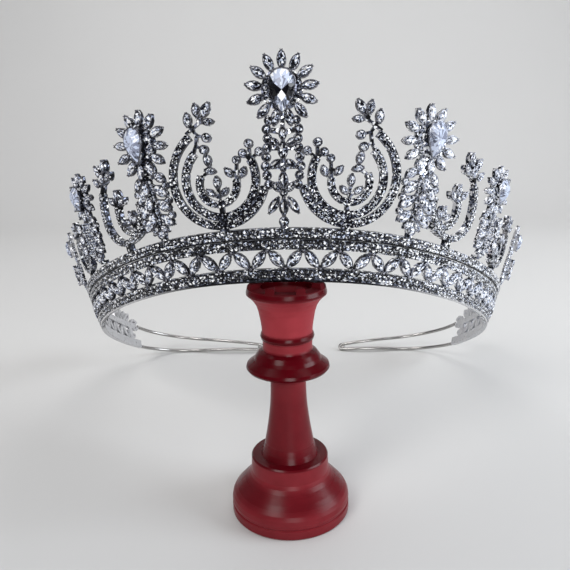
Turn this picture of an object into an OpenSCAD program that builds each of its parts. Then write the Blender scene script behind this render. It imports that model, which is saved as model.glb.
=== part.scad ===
// Crystal tiara resting on a turned chess-queen stand.
// Frame: z up from the floor, y to the back, origin at the middle of the stand's foot.
// The tiara is drawn level, from the middle of its lower front edge, and then laid back on the rim.

/* [Plan of the tiara] */
// length of the front arc of the lower edge, from the centre to one side
front_len = 37; // [35:0.5:39]
// turn of the front arc, in degrees
front_turn = 42; // [40:0.5:44]
// length of the side arc
side_len = 122.5; // [122.5:0.5:125]
// turn of the side arc, in degrees
side_turn = 60.8; // [60:0.2:62]
// length of the tight rear bend of the hair loop
rear_len = 34; // [33:0.5:35]
// turn of the rear bend, in degrees
rear_turn = 94; // [92:0.5:96]
// length of the right loop's last curve
tail_len = 21.5; // [21:0.5:23.5]
// turn of the right loop's last curve the other way, in degrees
tail_turn = 37.5; // [36:0.5:39]
// length of the left loop's last curve
left_tail_len = 27; // [22:0.5:27.5]
// turn of the left loop's last curve the other way, in degrees
left_tail_turn = 28; // [26:0.5:30]

/* [Bandeau] */
// outward slant of the band's face at the front, in degrees
band_flare = 33.1; // [30:0.1:36]
// outward slant at the band's ends
end_flare = 15; // [13:0.5:20]
// arc position at which the band ends
band_end = 159; // [157:0.5:159.5]
// thickness of the rails
rail_deep = 1.2; // [1:0.1:1.5]
// slant height of the lower rail
low_rail_top = 3.2; // [3:0.1:3.4]
// slant height at which the upper rail starts
high_rail_low = 8.2; // [8:0.1:8.4]
// slant height at which the upper rail ends
high_rail_top = 10.7; // [10.5:0.1:10.9]
// height of the plain bright edge along the bottom
edge_high = 0.8; // [0.6:0.1:1]
// lattice stones on each side
lattice_count = 37; // [35:1:38]
// length of a lattice stone
lattice_len = 5; // [4.6:0.1:5.2]
// width of a lattice stone
lattice_wide = 2.3; // [2:0.1:2.5]

/* [Gallery and crest] */
// slant height at which the gallery rail starts
gallery_low = 11.2; // [11.1:0.1:11.4]
// slant height of the gallery rail's top
gallery_top = 13.5; // [13.3:0.1:13.7]
// arc position at which the gallery rail ends
gallery_end = 104.5; // [103:0.5:106]
// outward slant of the crest, in degrees
crest_flare = 21.1; // [19:0.1:23]
// arc position of the first side column
column_1_at = 28.6; // [28:0.1:29.2]
// arc position of the second side column
column_2_at = 57.3; // [56.5:0.1:58]
// arc position of the third side column
column_3_at = 98.5; // [97.5:0.1:99.5]
// arc position of the large scroll's axis
scroll_1_at = 13; // [12.8:0.1:13.2]
// arc position of the second scroll's axis
scroll_2_at = 42.5; // [42:0.1:43]
// arc position of the third scroll's axis
scroll_3_at = 76; // [74:0.5:78]
// width of the large scroll's arcs
arc_wide = 2; // [1.8:0.1:2]
// petals round the centre column's pear stone
petal_count = 13; // [12:1:13]
// petals round each pear stone of the side columns
side_petal_count = 12; // [11:1:12]

/* [Hair loops] */
// radius of the loop wire
wire_r = 0.7; // [0.6:0.05:0.8]
// slant height at which the upper wire leaves the end plate
wire_start = 10; // [9:0.1:10]
// height between the two wires at the U end
wire_gap = 2.2; // [2:0.1:2.4]

/* [Stand] */
// height of the rim's teeth
rim_z = 64.2; // [64:0.05:64.25]
// radius of the foot
foot_r = 15.9; // [15.5:0.1:16.5]
// radius of the rim
rim_r = 10.3; // [10.1:0.1:10.4]
// notches round the rim
notch_count = 8; // [8:1:8]
// width of a notch
notch_wide = 5.2; // [4.8:0.1:5.4]
// depth of a notch
notch_deep = 1.3; // [1:0.1:1.8]

/* [Part shown] */
// sub-part to draw, or all of them

/* [Hidden] */
$fn = 64;

// small clearance between neighbouring pieces
gap = 0.1;

// spacing of the lattice's apexes, which stops short of the band's end
lattice_end = band_end - 7;
lattice_pitch = lattice_end / lattice_count;

// seams between the front and the side pieces, in the middle of a lattice setting
seam_apex = floor(front_len / lattice_pitch) - 1;
seam_at = (seam_apex + 0.5) * lattice_pitch;

// greatest length of one straight step of a side rail
rail_step = 4;

// length and turn of the last curve on either side
right_tail = [tail_len, tail_turn];
left_tail = [left_tail_len, left_tail_turn];

// radii of the first three arcs of the plan
front_r = front_len / (front_turn * PI / 180);
side_r = side_len / (side_turn * PI / 180);
rear_r = rear_len / (rear_turn * PI / 180);

// arc positions at which the arcs join, and the heading there
side_end = front_len + side_len;
rear_end = side_end + rear_len;
side_head = front_turn + side_turn;
rear_head = side_head + rear_turn;

// unit vectors to the outside of the tiara at a heading
function outward(a) = [sin(a), -cos(a)];

// centres of the side and rear arcs
side_c = [0, front_r] + (front_r - side_r) * outward(front_turn);
rear_c = side_c + (side_r - rear_r) * outward(side_head);

// heading of the plan curve at arc position s
function heading(s, tail = right_tail) =
    s <= front_len ? front_turn * s / front_len :
    s <= side_end ? front_turn + side_turn * (s - front_len) / side_len :
    s <= rear_end ? side_head + rear_turn * (s - side_end) / rear_len :
    rear_head - tail[1] * (s - rear_end) / tail[0];

// point of the plan curve at arc position s
function plan(s, tail = right_tail) =
    let (out = outward(heading(s, tail)), tail_r = tail[0] / (tail[1] * PI / 180))
    s <= front_len ? [0, front_r] + front_r * out :
    s <= side_end ? side_c + side_r * out :
    s <= rear_end ? rear_c + rear_r * out :
    rear_c + (rear_r + tail_r) * outward(rear_head) - tail_r * out;

// outward slant of the face at arc position s: even along the front, then easing off to the ends
function flare(s) =
    s <= front_len ? band_flare :
    band_flare + (end_flare - band_flare) * (s - front_len) / (band_end - front_len);

// section of a rail: corner points given as slant height and depth in front of the band's face
function slanted(r, corners) = [
    for (c = corners)
        [r + c[0] * sin(band_flare) + c[1] * cos(band_flare),
         c[0] * cos(band_flare) - c[1] * sin(band_flare)]
];

// point at an arc position, a slant height and a depth in front of the face
function on_face(s, high, deep) =
    let (f = flare(s), p = plan(s) + (high * sin(f) + deep * cos(f)) * outward(heading(s)))
    [p[0], p[1], high * cos(f) - deep * sin(f)];

// a rail with this section round the front, a hair short of the seams with the side pieces
module front_piece(corners) {
    half = heading(seam_at - gap / 2);
    translate([0, front_r, 0])
        rotate([0, 0, -90 - half])
            rotate_extrude(angle = 2 * half)
                polygon(slanted(front_r, corners));
}

// a length of rail on the right side arc, whose slant changes from station to station
module side_piece(corners, s_0, s_1) {
    steps = ceil((s_1 - s_0) / rail_step);
    n = len(corners);
    polyhedron(
        points = [
            for (i = [0:steps], c = corners)
                on_face(s_0 + (s_1 - s_0) * i / steps, c[0], c[1])
        ],
        faces = concat(
            [[for (k = [0:n - 1]) n - 1 - k]],
            [[for (k = [0:n - 1]) steps * n + k]],
            [for (i = [0:steps - 1], k = [0:n - 1])
                [i * n + k, i * n + (k + 1) % n, (i + 1) * n + (k + 1) % n, (i + 1) * n + k]]
        )
    );
}

// block that takes away what lies before (-1) or beyond (1) the seam on the right side
module past_seam(way) {
    reach = 8;
    translate([plan(seam_at)[0], plan(seam_at)[1], 0])
        rotate([0, 0, heading(seam_at)])
            translate([way * (reach - gap) / 2, 0, 5])
                cube([reach, 40, 40], center = true);
}

// places a drawing on the band's face: x along the band, y up the slant, z to the outside
module on_band(s) {
    translate([plan(s)[0], plan(s)[1], 0])
        rotate([0, 0, heading(s)])
            rotate([90 + flare(s), 0, 0])
                children();
}

// places a drawing on the crest, y up from the gallery's top, z to the outside
module on_crest(s) {
    translate(on_face(s, gallery_top, 0))
        rotate([0, 0, heading(s)])
            rotate([90 + crest_flare, 0, 0])
                children();
}

// how the level tiara lies: its front on the rim, the lower wires' bends on the floor
contact = [-3.64, 64.76];
bend_y = rear_c[1] + rear_r - wire_r;
floor_gap = 0.02;
lay_back = asin((contact[1] - wire_r - floor_gap) / norm([bend_y, wire_r])) + atan(wire_r / bend_y);

module laid() {
    translate([0, contact[0], contact[1]])
        rotate([-lay_back, 0, 0])
            children();
}

// outline of a pointed leaf standing on its tip, with this many facets on a side
function leaf_outline(len, wide, facets) =
    let (
        r = (len * len + wide * wide) / (4 * wide),
        a = asin(len / 2 / r),
        side = [for (i = [0:facets]) r * [cos(a * (2 * i / facets - 1)), sin(a * (2 * i / facets - 1))]],
        shift = [wide / 2 - r, 0]
    )
    concat(
        [for (i = [0:facets]) side[i] + shift],
        [for (i = [1:facets - 1]) -side[i] - shift]
    );

// outline of a pear, round end up and point down
function pear_outline(len, wide, facets) = [
    for (i = [0:facets - 1])
        let (t = 360 * i / facets)
        [-1.299 * wide / 2 * sin(t) * cos(t / 2) * sign(180.001 - t), len / 2 * cos(t)]
];

// a cut stone over an outline: flat back, sloping facets and a flat table
module cut_stone(outline, high, table) {
    n = len(outline);
    polyhedron(
        points = concat(
            [for (p = outline) [p[0], p[1], 0]],
            [for (p = outline) [p[0] * table, p[1] * table, high]]
        ),
        faces = concat(
            [[for (i = [0:n - 1]) i]],
            [[for (i = [0:n - 1]) 2 * n - 1 - i]],
            [for (i = [0:n - 1]) [i, n + i, n + (i + 1) % n, (i + 1) % n]]
        )
    );
}

// flat bar between two points
module bar(p, q, wide) {
    translate(p)
        rotate(atan2(q[1] - p[1], q[0] - p[0]))
            translate([0, -wide / 2])
                square([norm(q - p), wide]);
}

// flat arc of a ring from one angle to another
module arc(c, r, wide, a_0, a_1) {
    reach = r + wide;
    translate(c)
        intersection() {
            difference() {
                circle(r = r + wide / 2);
                circle(r = r - wide / 2);
            }
            union()
                for (i = [0:3])
                    let (b = a_0 + (a_1 - a_0) * i / 4, e = a_0 + (a_1 - a_0) * (i + 1) / 4)
                    polygon([
                        [0, 0],
                        1.5 * reach * [cos(b), sin(b)],
                        1.5 * reach * [cos(e), sin(e)]
                    ]);
        }
}

// flat settings for leaf stones, one row each: x, y, lean from upright to +x, length, width
module leaf_settings(rows) {
    for (l = rows)
        translate([l[0], l[1]])
            rotate(-l[2])
                polygon(leaf_outline(l[3] + 0.6, l[4] + 0.4, 6));
}

module discs(rows) {
    for (d = rows)
        translate([d[0], d[1]])
            circle(r = d[2]);
}

// a row mirrored to the other side of its drawing
function across(rows) = [for (l = rows) [-l[0], l[1], -l[2], l[3], l[4]]];
function across_discs(rows) = [for (d = rows) [-d[0], d[1], d[2]]];

// Stand

// profiles of the turned stand from the floor up, [radius, height]
foot_profile = [
    [0, 0], [foot_r - 0.3, 0], [foot_r, 0.4], [foot_r, 2.4], [foot_r - 0.4, 2.7], [foot_r - 0.1, 3.1],
    [foot_r, 4], [foot_r - 0.2, 5.2], [foot_r - 0.7, 6.2], [13.4, 8.2], [11.6, 10], [10.8, 11], [10.4, 12],
    [10.3, 16], [10, 16.4]
];
stem_profile = [
    [7.7, 16.5], [7.1, 17.9], [6.6, 19.6], [6.15, 22], [5.65, 25], [5.3, 27.5], [5, 30], [4.8, 32.5],
    [4.7, 35], [4.65, 38]
];
collar_profile = [
    [5.4, 38.9], [8.3, 39.8], [10.5, 40.8], [10.9, 41.4], [10.7, 42.1], [8.8, 43.5], [8.4, 44.4],
    [7.6, 45.5], [6.6, 46.1], [6.4, 46.8], [6.45, 48.9], [6.8, 49.1], [7, 49.8], [6.8, 50.5], [6.5, 50.7]
];
cup_profile = [
    [6.65, 52.5], [6.95, 54.5], [7.3, 56.4], [7.8, 58], [8.5, 59.2], [9.4, 60.2], [rim_r, 61], [rim_r, 61.6],
    [rim_r - 0.7, rim_z], [7, rim_z], [6.6, 61], [5.6, 58], [3.5, 56.6], [0, 56.2]
];

module display_stand() {
    color([0.55, 0.02, 0.05])
        difference() {
            rotate_extrude()
                polygon(concat(foot_profile, stem_profile, collar_profile, cup_profile));
            for (k = [0:notch_count - 1])
                rotate([0, 0, 360 * k / notch_count - 90])
                    translate([6, -notch_wide / 2, rim_z - notch_deep])
                        cube([6, notch_wide, notch_deep + 1]);
        }
}

// Bandeau

lattice_mid = (low_rail_top + high_rail_low) / 2;
lattice_lean = atan(lattice_pitch / (high_rail_low - low_rail_top));

// depths of the rail body, of the lattice settings and of the plain bottom edge
rail_back = -rail_deep;
lattice_back = -1;
lattice_front = -0.2;
edge_front = 0.25;

low_rail = [
    [0, rail_back], [0, edge_front], [edge_high, edge_front], [edge_high, 0],
    [low_rail_top, 0], [low_rail_top, rail_back]
];
high_rail = [[high_rail_low, rail_back], [high_rail_low, 0], [high_rail_top, 0], [high_rail_top, rail_back]];
end_plate = [
    [low_rail_top - 0.5, rail_back], [low_rail_top - 0.5, -0.1],
    [high_rail_low + 0.5, -0.1], [high_rail_low + 0.5, rail_back]
];

// leaf lobes at the band's end: arc length before the end, y, lean to the back, length, width
end_lobes = [
    [3, 8.8, 90, 6, 2.6], [3.2, 11.3, 84, 6.2, 2.6], [6, 4.8, 80, 4.4, 2.4],
    [8.6, 12.8, 50, 5.4, 2.6], [11.6, 12.8, 30, 5.4, 2.6], [14.8, 12.6, 18, 5.2, 2.5],
    [18, 12.3, 10, 4.8, 2.4], [21.2, 11.8, 4, 4.2, 2.2]
];

// knot where the settings meet at an apex, low and high by turns
module knot(i) {
    on_band(i * lattice_pitch)
        translate([0, i % 2 == 0 ? low_rail_top : high_rail_low, lattice_back + 0.1])
            cylinder(r = 0.95, h = lattice_front - lattice_back, $fn = 24);
}

// lattice settings on the right side from one apex to another, with the knots after the first apex
module lattice(i_0, i_1) {
    for (i = [i_0:i_1 - 1])
        on_band((i + 0.5) * lattice_pitch)
            translate([0, 0, lattice_back])
                linear_extrude(lattice_front - lattice_back)
                    leaf_settings([[
                        0, lattice_mid, i % 2 == 0 ? lattice_lean : -lattice_lean,
                        lattice_len + 0.5, lattice_wide
                    ]]);
    for (i = [i_0 + 1:i_1])
        knot(i);
}

module band_end_lobes() {
    for (l = end_lobes)
        on_band(band_end - l[0])
            translate([0, 0, rail_back + 0.1])
                linear_extrude(rail_deep - 0.3)
                    leaf_settings([[0, l[1], l[2], l[3], l[4]]]);
}

module bandeau_front() {
    color([0.8, 0.8, 0.82])
        laid() {
            front_piece(low_rail);
            front_piece(high_rail);
            knot(0);
            for (m = [0, 1])
                mirror([m, 0, 0])
                    difference() {
                        lattice(0, seam_apex + 1);
                        past_seam(1);
                    }
        }
}

module bandeau_side() {
    side_piece(low_rail, seam_at + gap / 2, band_end);
    side_piece(high_rail, seam_at + gap / 2, band_end - 3);
    side_piece(end_plate, lattice_end - 2.4, lattice_end + 0.8);
    band_end_lobes();
    lattice(seam_apex + 1, lattice_count);
    difference() {
        lattice(seam_apex, seam_apex + 1);
        past_seam(-1);
    }
}

module bandeau_right() {
    color([0.8, 0.8, 0.82])
        laid()
            bandeau_side();
}

module bandeau_left() {
    color([0.8, 0.8, 0.82])
        laid()
            mirror([1, 0, 0])
                bandeau_side();
}

module half_lattice_stones() {
    for (i = [0:lattice_count - 1])
        on_band((i + 0.5) * lattice_pitch)
            translate([0, lattice_mid, lattice_front + gap])
                rotate([0, 0, i % 2 == 0 ? -lattice_lean : lattice_lean])
                    cut_stone(leaf_outline(lattice_len, lattice_wide, 4), 0.8, 0.6);
}

module lattice_stones_right() {
    color([0.9, 0.93, 0.97])
        laid()
            half_lattice_stones();
}

module lattice_stones_left() {
    color([0.9, 0.93, 0.97])
        laid()
            mirror([1, 0, 0])
                half_lattice_stones();
}

// Gallery rail

gallery = [
    [high_rail_top + gap, rail_back], [high_rail_top + gap, -0.6], [gallery_low, -0.6], [gallery_low, 0],
    [gallery_top, 0], [gallery_top, rail_back]
];

module gallery_front() {
    color([0.8, 0.8, 0.82])
        laid()
            front_piece(gallery);
}

module gallery_right() {
    color([0.8, 0.8, 0.82])
        laid()
            side_piece(gallery, seam_at + gap / 2, gallery_end);
}

module gallery_left() {
    color([0.8, 0.8, 0.82])
        laid()
            mirror([1, 0, 0])
                side_piece(gallery, seam_at + gap / 2, gallery_end);
}

// Hair loops

// level height of the upper wire's centre at the U end and at the band's end
wire_end_z = wire_r + wire_gap;
wire_start_z = wire_start * cos(end_flare);

// centre lines of the lower and the upper wire at arc position s, just inside the band's face
function lower_wire(s, tail) =
    let (p = plan(s, tail) - wire_r * outward(heading(s, tail)))
    [p[0], p[1], wire_r];

function upper_wire(s, tail) =
    let (
        last = rear_end + tail[0],
        t = (last - s) / (last - band_end),
        z = wire_end_z + (wire_start_z - wire_end_z) * t,
        p = plan(s, tail) + (z * tan(end_flare) * t - wire_r) * outward(heading(s, tail))
    )
    [p[0], p[1], z];

loop_start = band_end + 0.3;
loop_steps = 26;
bend_steps = 6;

// unit vector along the wires at a heading
function along(a) = [cos(a), sin(a)];

// centre line of a loop with this last curve: along the lower wire, round the U end and back
function loop_line(tail) =
    let (
        last = rear_end + tail[0],
        p = lower_wire(last, tail),
        rise = upper_wire(last, tail)[2] - p[2],
        way = along(heading(last, tail))
    )
    concat(
        [for (i = [0:loop_steps - 1]) lower_wire(loop_start + (last - loop_start) * i / loop_steps, tail)],
        [for (i = [0:bend_steps]) let (a = 180 * i / bend_steps - 90)
            [p[0] + way[0] * rise / 2 * cos(a),
             p[1] + way[1] * rise / 2 * cos(a),
             p[2] + rise / 2 * (1 + sin(a))]],
        [for (i = [1:loop_steps]) upper_wire(last - (last - loop_start) * i / loop_steps, tail)]
    );

// round wire along a line of points that bends mostly about the upright axis and ends along this way
module wire(line, r, sides, way) {
    n = len(line);
    ahead = [for (i = [0:n - 1]) let (d = line[min(i + 1, n - 1)] - line[max(i - 1, 0)]) d / norm(d)];
    across_way = [for (d = ahead) let (c = cross(d, [way[1], -way[0], 0.3])) c / norm(c)];
    polyhedron(
        points = [
            for (i = [0:n - 1], k = [0:sides - 1])
                let (u = across_way[i], w = cross(ahead[i], across_way[i]), a = 360 * k / sides)
                line[i] + r * (cos(a) * u + sin(a) * w)
        ],
        faces = concat(
            [[for (k = [0:sides - 1]) k]],
            [[for (k = [0:sides - 1]) n * sides - 1 - k]],
            [for (i = [0:n - 2], k = [0:sides - 1])
                let (m = (k + 1) % sides)
                [i * sides + k, (i + 1) * sides + k, (i + 1) * sides + m, i * sides + m]]
        )
    );
}

module hair_loop(tail) {
    wire(loop_line(tail), wire_r, 10, along(rear_head - tail[1]));
}

module hair_loop_right() {
    color([0.75, 0.75, 0.78])
        laid()
            hair_loop(right_tail);
}

module hair_loop_left() {
    color([0.75, 0.75, 0.78])
        laid()
            mirror([1, 0, 0])
                hair_loop(left_tail);
}

// Columns

// depths of a column in front of the crest's face: its plate's back and front, and the pear stone's seat
centre_depth = [1.1, 2.1, 3];
side_depth = [-0.9, 0.1, 2];
side_2_depth = [0.7, 1.7, 3.4];
stone_high = 0.8;

// leaf stones of the centre column: x, y, lean, length, width
centre_leaves = [[0, 5.1, 0, 4, 2], [0, 11.4, 0, 4, 2], [0, 18.2, 0, 4, 2.2], [0, 22, 0, 2.9, 1.7]];
centre_pairs = [[2.3, 5.5, -32, 4.4, 1.8], [1.8, 15, -55, 3, 1.6]];
// round settings of the centre column: x, y, radius
centre_rounds = [[0, 1.7, 1.25], [0, 8.4, 1], [0, 13.9, 0.8]];
centre_chain = [
    [3.4, 10.3, 1.15], [3.8, 12.4, 1.15], [4.1, 14.5, 1.15], [3.9, 16.6, 1.15],
    [3.6, 18.7, 1.15], [3.5, 20.8, 1.15], [3.7, 22.9, 1.15], [3.2, 24.9, 1.1]
];
// settings whose small stones are not drawn here
centre_sprigs = [[2, 20, 60, 2.4, 1.5], [1.6, 9.7, 40, 2.6, 1.5]];

// the same for a side column
side_leaves = [[0, 6, 0, 3.4, 1.8], [0, 9.8, 0, 3.4, 1.8], [0, 13.6, 0, 3.4, 1.8]];
side_pairs = [[3, 4.9, -48, 4.4, 2.2], [3.1, 8.6, -48, 4.8, 2.3], [3.1, 12.3, -48, 4.8, 2.3]];
side_rounds = [[0, 1.8, 1.25]];
side_chain = [[4.7, 5.8, 0.9], [4.8, 9.5, 0.9], [5, 13.2, 0.9]];
side_sprigs = [[3.7, 15.6, -42, 3.4, 1.8], [1.5, 3, -40, 2.4, 1.4]];

// height of the flower's middle, its outer radius, the pear's length and width, the petals, and how far
// the pear stone stands below the middle
centre_flower = [31.9, 8.6, 9.6, 6, petal_count, 0.6];
side_flower = [24.7, 8.7, 8.8, 5.4, side_petal_count, 0];

// the three side columns: arc position, scale against the first, lean to the back and depths
column_at = [column_1_at, column_2_at, column_3_at];
column_scale = [1, 0.81, 0.66];
column_lean = [1.8, 0, 0];
column_depth = [side_depth, side_2_depth, side_depth];

// how high the ridge stands that lifts the leaf stones on a side column's spine
column_ridge = [1.6, 3.8, 2.6];

function petals(flower) = [
    for (i = [0:flower[4] - 1])
        let (a = 360 * (i + 0.5 * (flower[4] + 1) % 1) / flower[4], m = flower[1] - 2.15)
        [m * sin(a), flower[0] + m * cos(a), a, 4, 1.9]
];

module flower_settings(flower) {
    leaf_settings(petals(flower));
    translate([0, flower[0]])
        difference() {
            circle(r = flower[1] - 3.8);
            for (x = [-3.05, 3.05])
                translate([x, -2.6])
                    circle(r = 0.6);
        }
}

// plate of a column with its foot on the rail, the raised collar of the pear stone and the spine's ridge
module column(flower, leaves, spine, rounds, chain, ties, depth, ridge) {
    translate([0, 0, depth[0]])
        linear_extrude(depth[1] - depth[0]) {
            flower_settings(flower);
            leaf_settings(leaves);
            discs(concat(rounds, chain, across_discs(chain)));
            bar([0, gap], [0, flower[0]], 1);
            for (t = ties) {
                bar([0, t[0]], [t[1], t[2]], t[3]);
                bar([0, t[0]], [-t[1], t[2]], t[3]);
            }
        }
    translate([0, flower[0] - flower[5], depth[1] - 0.2])
        linear_extrude(depth[2] - depth[1] + 0.2)
            polygon(pear_outline(flower[2] + 0.4, flower[3] + 0.4, 16));
    if (ridge > 0)
        translate([0, 0, depth[1] - 0.1])
            linear_extrude(ridge + 0.1) {
                leaf_settings([for (l = spine) [l[0], l[1], l[2], l[3] - 0.3, l[4] - 0.2]]);
                bar([0, spine[0][1]], [0, spine[len(spine) - 1][1]], 1.2);
            }
    translate([-0.9, gap, -1])
        cube([1.8, 1.1, depth[1] + 0.8]);
}

// ties between the spine and the side settings: y on the spine, x and y at the outer end, width
centre_ties = [
    [10.6, 3.4, 10.3, 1], [14.4, 4.1, 14.5, 1.2], [18.7, 3.6, 18.7, 1.2], [22.2, 3.7, 22.9, 1.2]
];
side_ties = [[6.4, 3, 4.9, 1.9], [10.2, 3.1, 8.6, 1.9], [13.9, 3.1, 12.3, 1.9], [17, 3.7, 15.6, 1.5]];

// every leaf setting of the centre column and of a side column
centre_settings = concat(
    centre_leaves, centre_pairs, across(centre_pairs), centre_sprigs, across(centre_sprigs)
);
side_settings = concat(side_leaves, side_pairs, across(side_pairs), side_sprigs, across(side_sprigs));

module leaf_row(rows, seat) {
    for (l = rows)
        translate([l[0], l[1], seat + gap])
            rotate([0, 0, -l[2]])
                cut_stone(leaf_outline(l[3], l[4], 4), stone_high, 0.6);
}

module column_stones(leaves, pairs, depth, ridge) {
    leaf_row(leaves, depth[1] + ridge);
    leaf_row(concat(pairs, across(pairs)), depth[1]);
}

module petal_stones(flower, depth) {
    leaf_row(petals(flower), depth[1]);
}

module pear_stone(flower, depth) {
    translate([0, flower[0] - flower[5], depth[2] + gap])
        cut_stone(pear_outline(flower[2], flower[3], 16), 1.7, 0.55);
}

// places a drawing on the crest on the left (-1) or right (1) side, leaning to the back
module placed(side, s, size, lean) {
    laid()
        mirror([side < 0 ? 1 : 0, 0, 0])
            on_crest(s)
                rotate([0, 0, -lean])
                    scale(size)
                        children();
}

// places the drawing of side column k, counted from the front
module set_column(side, k) {
    placed(side, column_at[k], column_scale[k], column_lean[k])
        children();
}

module side_column(side, k) {
    color([0.8, 0.8, 0.82])
        set_column(side, k)
            column(
                side_flower, side_settings, side_leaves, side_rounds, side_chain, side_ties,
                column_depth[k], column_ridge[k]
            );
}

module side_pear(side, k) {
    color([0.85, 0.9, 1])
        set_column(side, k)
            pear_stone(side_flower, column_depth[k]);
}

module side_petals(side, k) {
    color([0.9, 0.93, 0.97])
        set_column(side, k)
            petal_stones(side_flower, column_depth[k]);
}

module side_leaf_stones(side, k) {
    color([0.9, 0.93, 0.97])
        set_column(side, k)
            column_stones(side_leaves, side_pairs, column_depth[k], column_ridge[k]);
}

module column_centre() {
    color([0.8, 0.8, 0.82])
        placed(1, 0, 1, 0)
            column(
                centre_flower, centre_settings, centre_leaves, centre_rounds, centre_chain, centre_ties,
                centre_depth, 0
            );
}

module pear_centre() {
    color([0.85, 0.9, 1])
        placed(1, 0, 1, 0)
            pear_stone(centre_flower, centre_depth);
}

module petals_centre() {
    color([0.9, 0.93, 0.97])
        placed(1, 0, 1, 0)
            petal_stones(centre_flower, centre_depth);
}

module leaf_stones_centre() {
    color([0.9, 0.93, 0.97])
        placed(1, 0, 1, 0)
            column_stones(centre_leaves, centre_pairs, centre_depth, 0);
}

module column_left_1() side_column(-1, 0);
module column_left_2() side_column(-1, 1);
module column_left_3() side_column(-1, 2);
module column_right_1() side_column(1, 0);
module column_right_2() side_column(1, 1);
module column_right_3() side_column(1, 2);
module pear_left_1() side_pear(-1, 0);
module pear_left_2() side_pear(-1, 1);
module pear_left_3() side_pear(-1, 2);
module pear_right_1() side_pear(1, 0);
module pear_right_2() side_pear(1, 1);
module pear_right_3() side_pear(1, 2);
module petals_left_1() side_petals(-1, 0);
module petals_left_2() side_petals(-1, 1);
module petals_left_3() side_petals(-1, 2);
module petals_right_1() side_petals(1, 0);
module petals_right_2() side_petals(1, 1);
module petals_right_3() side_petals(1, 2);
module leaf_stones_left_1() side_leaf_stones(-1, 0);
module leaf_stones_left_2() side_leaf_stones(-1, 1);
module leaf_stones_left_3() side_leaf_stones(-1, 2);
module leaf_stones_right_1() side_leaf_stones(1, 0);
module leaf_stones_right_2() side_leaf_stones(1, 1);
module leaf_stones_right_3() side_leaf_stones(1, 2);

// Scrolls

// depths of the front of the scrolls' plates and of their backs, from the large scroll to the third
scroll_front = -0.2;
scroll_back = [-1.2, -1.8, -2.6];

// leaves of the large scroll's sprigs: x, y, lean, length, width
large_leaves = [
    [6.1, 27.4, 0, 3.2, 1.7], [3.6, 29.3, 5, 3.2, 1.7], [1.3, 29.1, -35, 3.8, 1.9],
    [0.9, 26.3, 90, 2.6, 1.5],
    [2.2, 17.4, 10, 3, 1.6], [1.8, 14.8, 75, 2.6, 1.5],
    [-6.4, 13.5, -30, 2.6, 1.5], [-2.9, 13.9, 35, 2.6, 1.5],
    [0.4, 11.9, 0, 2.8, 1.5], [-1.2, 9.4, -45, 2.4, 1.3], [2.3, 9.6, 45, 2.4, 1.3]
];
// round settings: x, y, radius
large_rounds = [
    [1.8, 22.7, 1.15], [2.8, 20, 1.15], [-11, 17.8, 1.1], [-8.6, 20, 1.1], [-6.9, 17.9, 1.1], [-5.1, 16.6, 1]
];
// stems, from x, y to x, y
large_stems = [
    [7, 24.2, 3.3, 26.4], [5.3, 25.2, 6.1, 27.4],
    [3.3, 26.4, 3.6, 29.3], [3.3, 26.4, 1.3, 29.1], [3.3, 26.4, 0.9, 26.3],
    [5.3, 25.2, 4.3, 23.6], [4.3, 23.6, 4.8, 21.1], [4.8, 21.1, 5.9, 19.2],
    [4.3, 23.6, 1.8, 22.7], [4.8, 21.1, 2.8, 20], [2.8, 20, 2.2, 17.4], [2.2, 17.4, 1.8, 14.8],
    [1.8, 14.8, 4.5, 13.6],
    [-8.4, 16.3, -11, 17.8], [-8.4, 16.3, -8.6, 20], [-8.4, 16.3, -6.9, 17.9], [-6.9, 17.9, -5.1, 16.6],
    [-5.1, 16.6, -4.4, 11.4], [-4.8, 14, -6.4, 13.5], [-4.8, 14, -2.9, 13.9],
    [0.4, 6.4, 0.4, 11.9], [0.4, 8.2, -1.2, 9.4], [0.4, 8.2, 2.3, 9.6]
];

module stems(rows) {
    for (t = rows)
        bar([t[0], t[1]], [t[2], t[3]], 0.7);
}

module large_scroll(back) {
    translate([0, 0, back])
        linear_extrude(scroll_front - back) {
            arc([0, 13.3], 11.9, arc_wide, 197, 419);
            arc([-0.4, 12.5], 9, arc_wide, 154, 410);
            arc([0.3, 11.4], 4.8, 1.8, 170, 390);
            bar([0, gap], [0, 3.4], 2.2);
            bar([0, 4], [0, 6.6], 1.2);
            leaf_settings(large_leaves);
            discs(large_rounds);
            stems(large_stems);
        }
}

small_leaves = [
    [1.3, 24.4, -20, 3.2, 1.6], [4.7, 24, 15, 3.2, 1.6], [0.4, 21.3, -55, 2.8, 1.5],
    [6.6, 21.2, 35, 2.8, 1.5], [3.3, 21.6, -8, 2.8, 1.5],
    [-1.2, 15.4, -5, 2.8, 1.5], [1.6, 14.6, 35, 2.6, 1.4], [-3, 13.5, -60, 2.4, 1.4],
    [-5.4, 8.7, 0, 2.6, 1.5], [-7, 7.5, -45, 2, 1.3], [-3.8, 7.5, 45, 2, 1.3]
];
small_stems = [
    [6.2, 17.8, 3.3, 21.4], [3.3, 21.4, 1.3, 24.4], [3.3, 21.4, 4.7, 24],
    [4.4, 20, 0.4, 21.3], [4.8, 19.6, 6.6, 21.2],
    [0.3, 12.4, -1.2, 15.4], [0.3, 12.4, 1.6, 14.6], [0.3, 12.4, -3, 13.5],
    [-5, 4.8, -5.4, 8.7], [-5.2, 6.4, -7, 7.5], [-5.2, 6.4, -3.8, 7.5]
];

module small_scroll(back) {
    translate([0, 0, back])
        linear_extrude(scroll_front - back) {
            arc([0, 10.5], 7.9, 1.7, 266, 362);
            arc([-8.1, 10.5], 16, 1.7, 0, 28);
            arc([0, 22.6], 20, 1.7, 246.5, 271);
            arc([-4.5, 10], 5.4, 1.7, 165, 390);
            bar([0, gap], [0, 3.2], 2);
            bar([-3.6, 2.6], [-3.6, 5], 1.6);
            leaf_settings(small_leaves);
            stems(small_stems);
        }
}

third_scroll_scale = 0.7;

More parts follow.
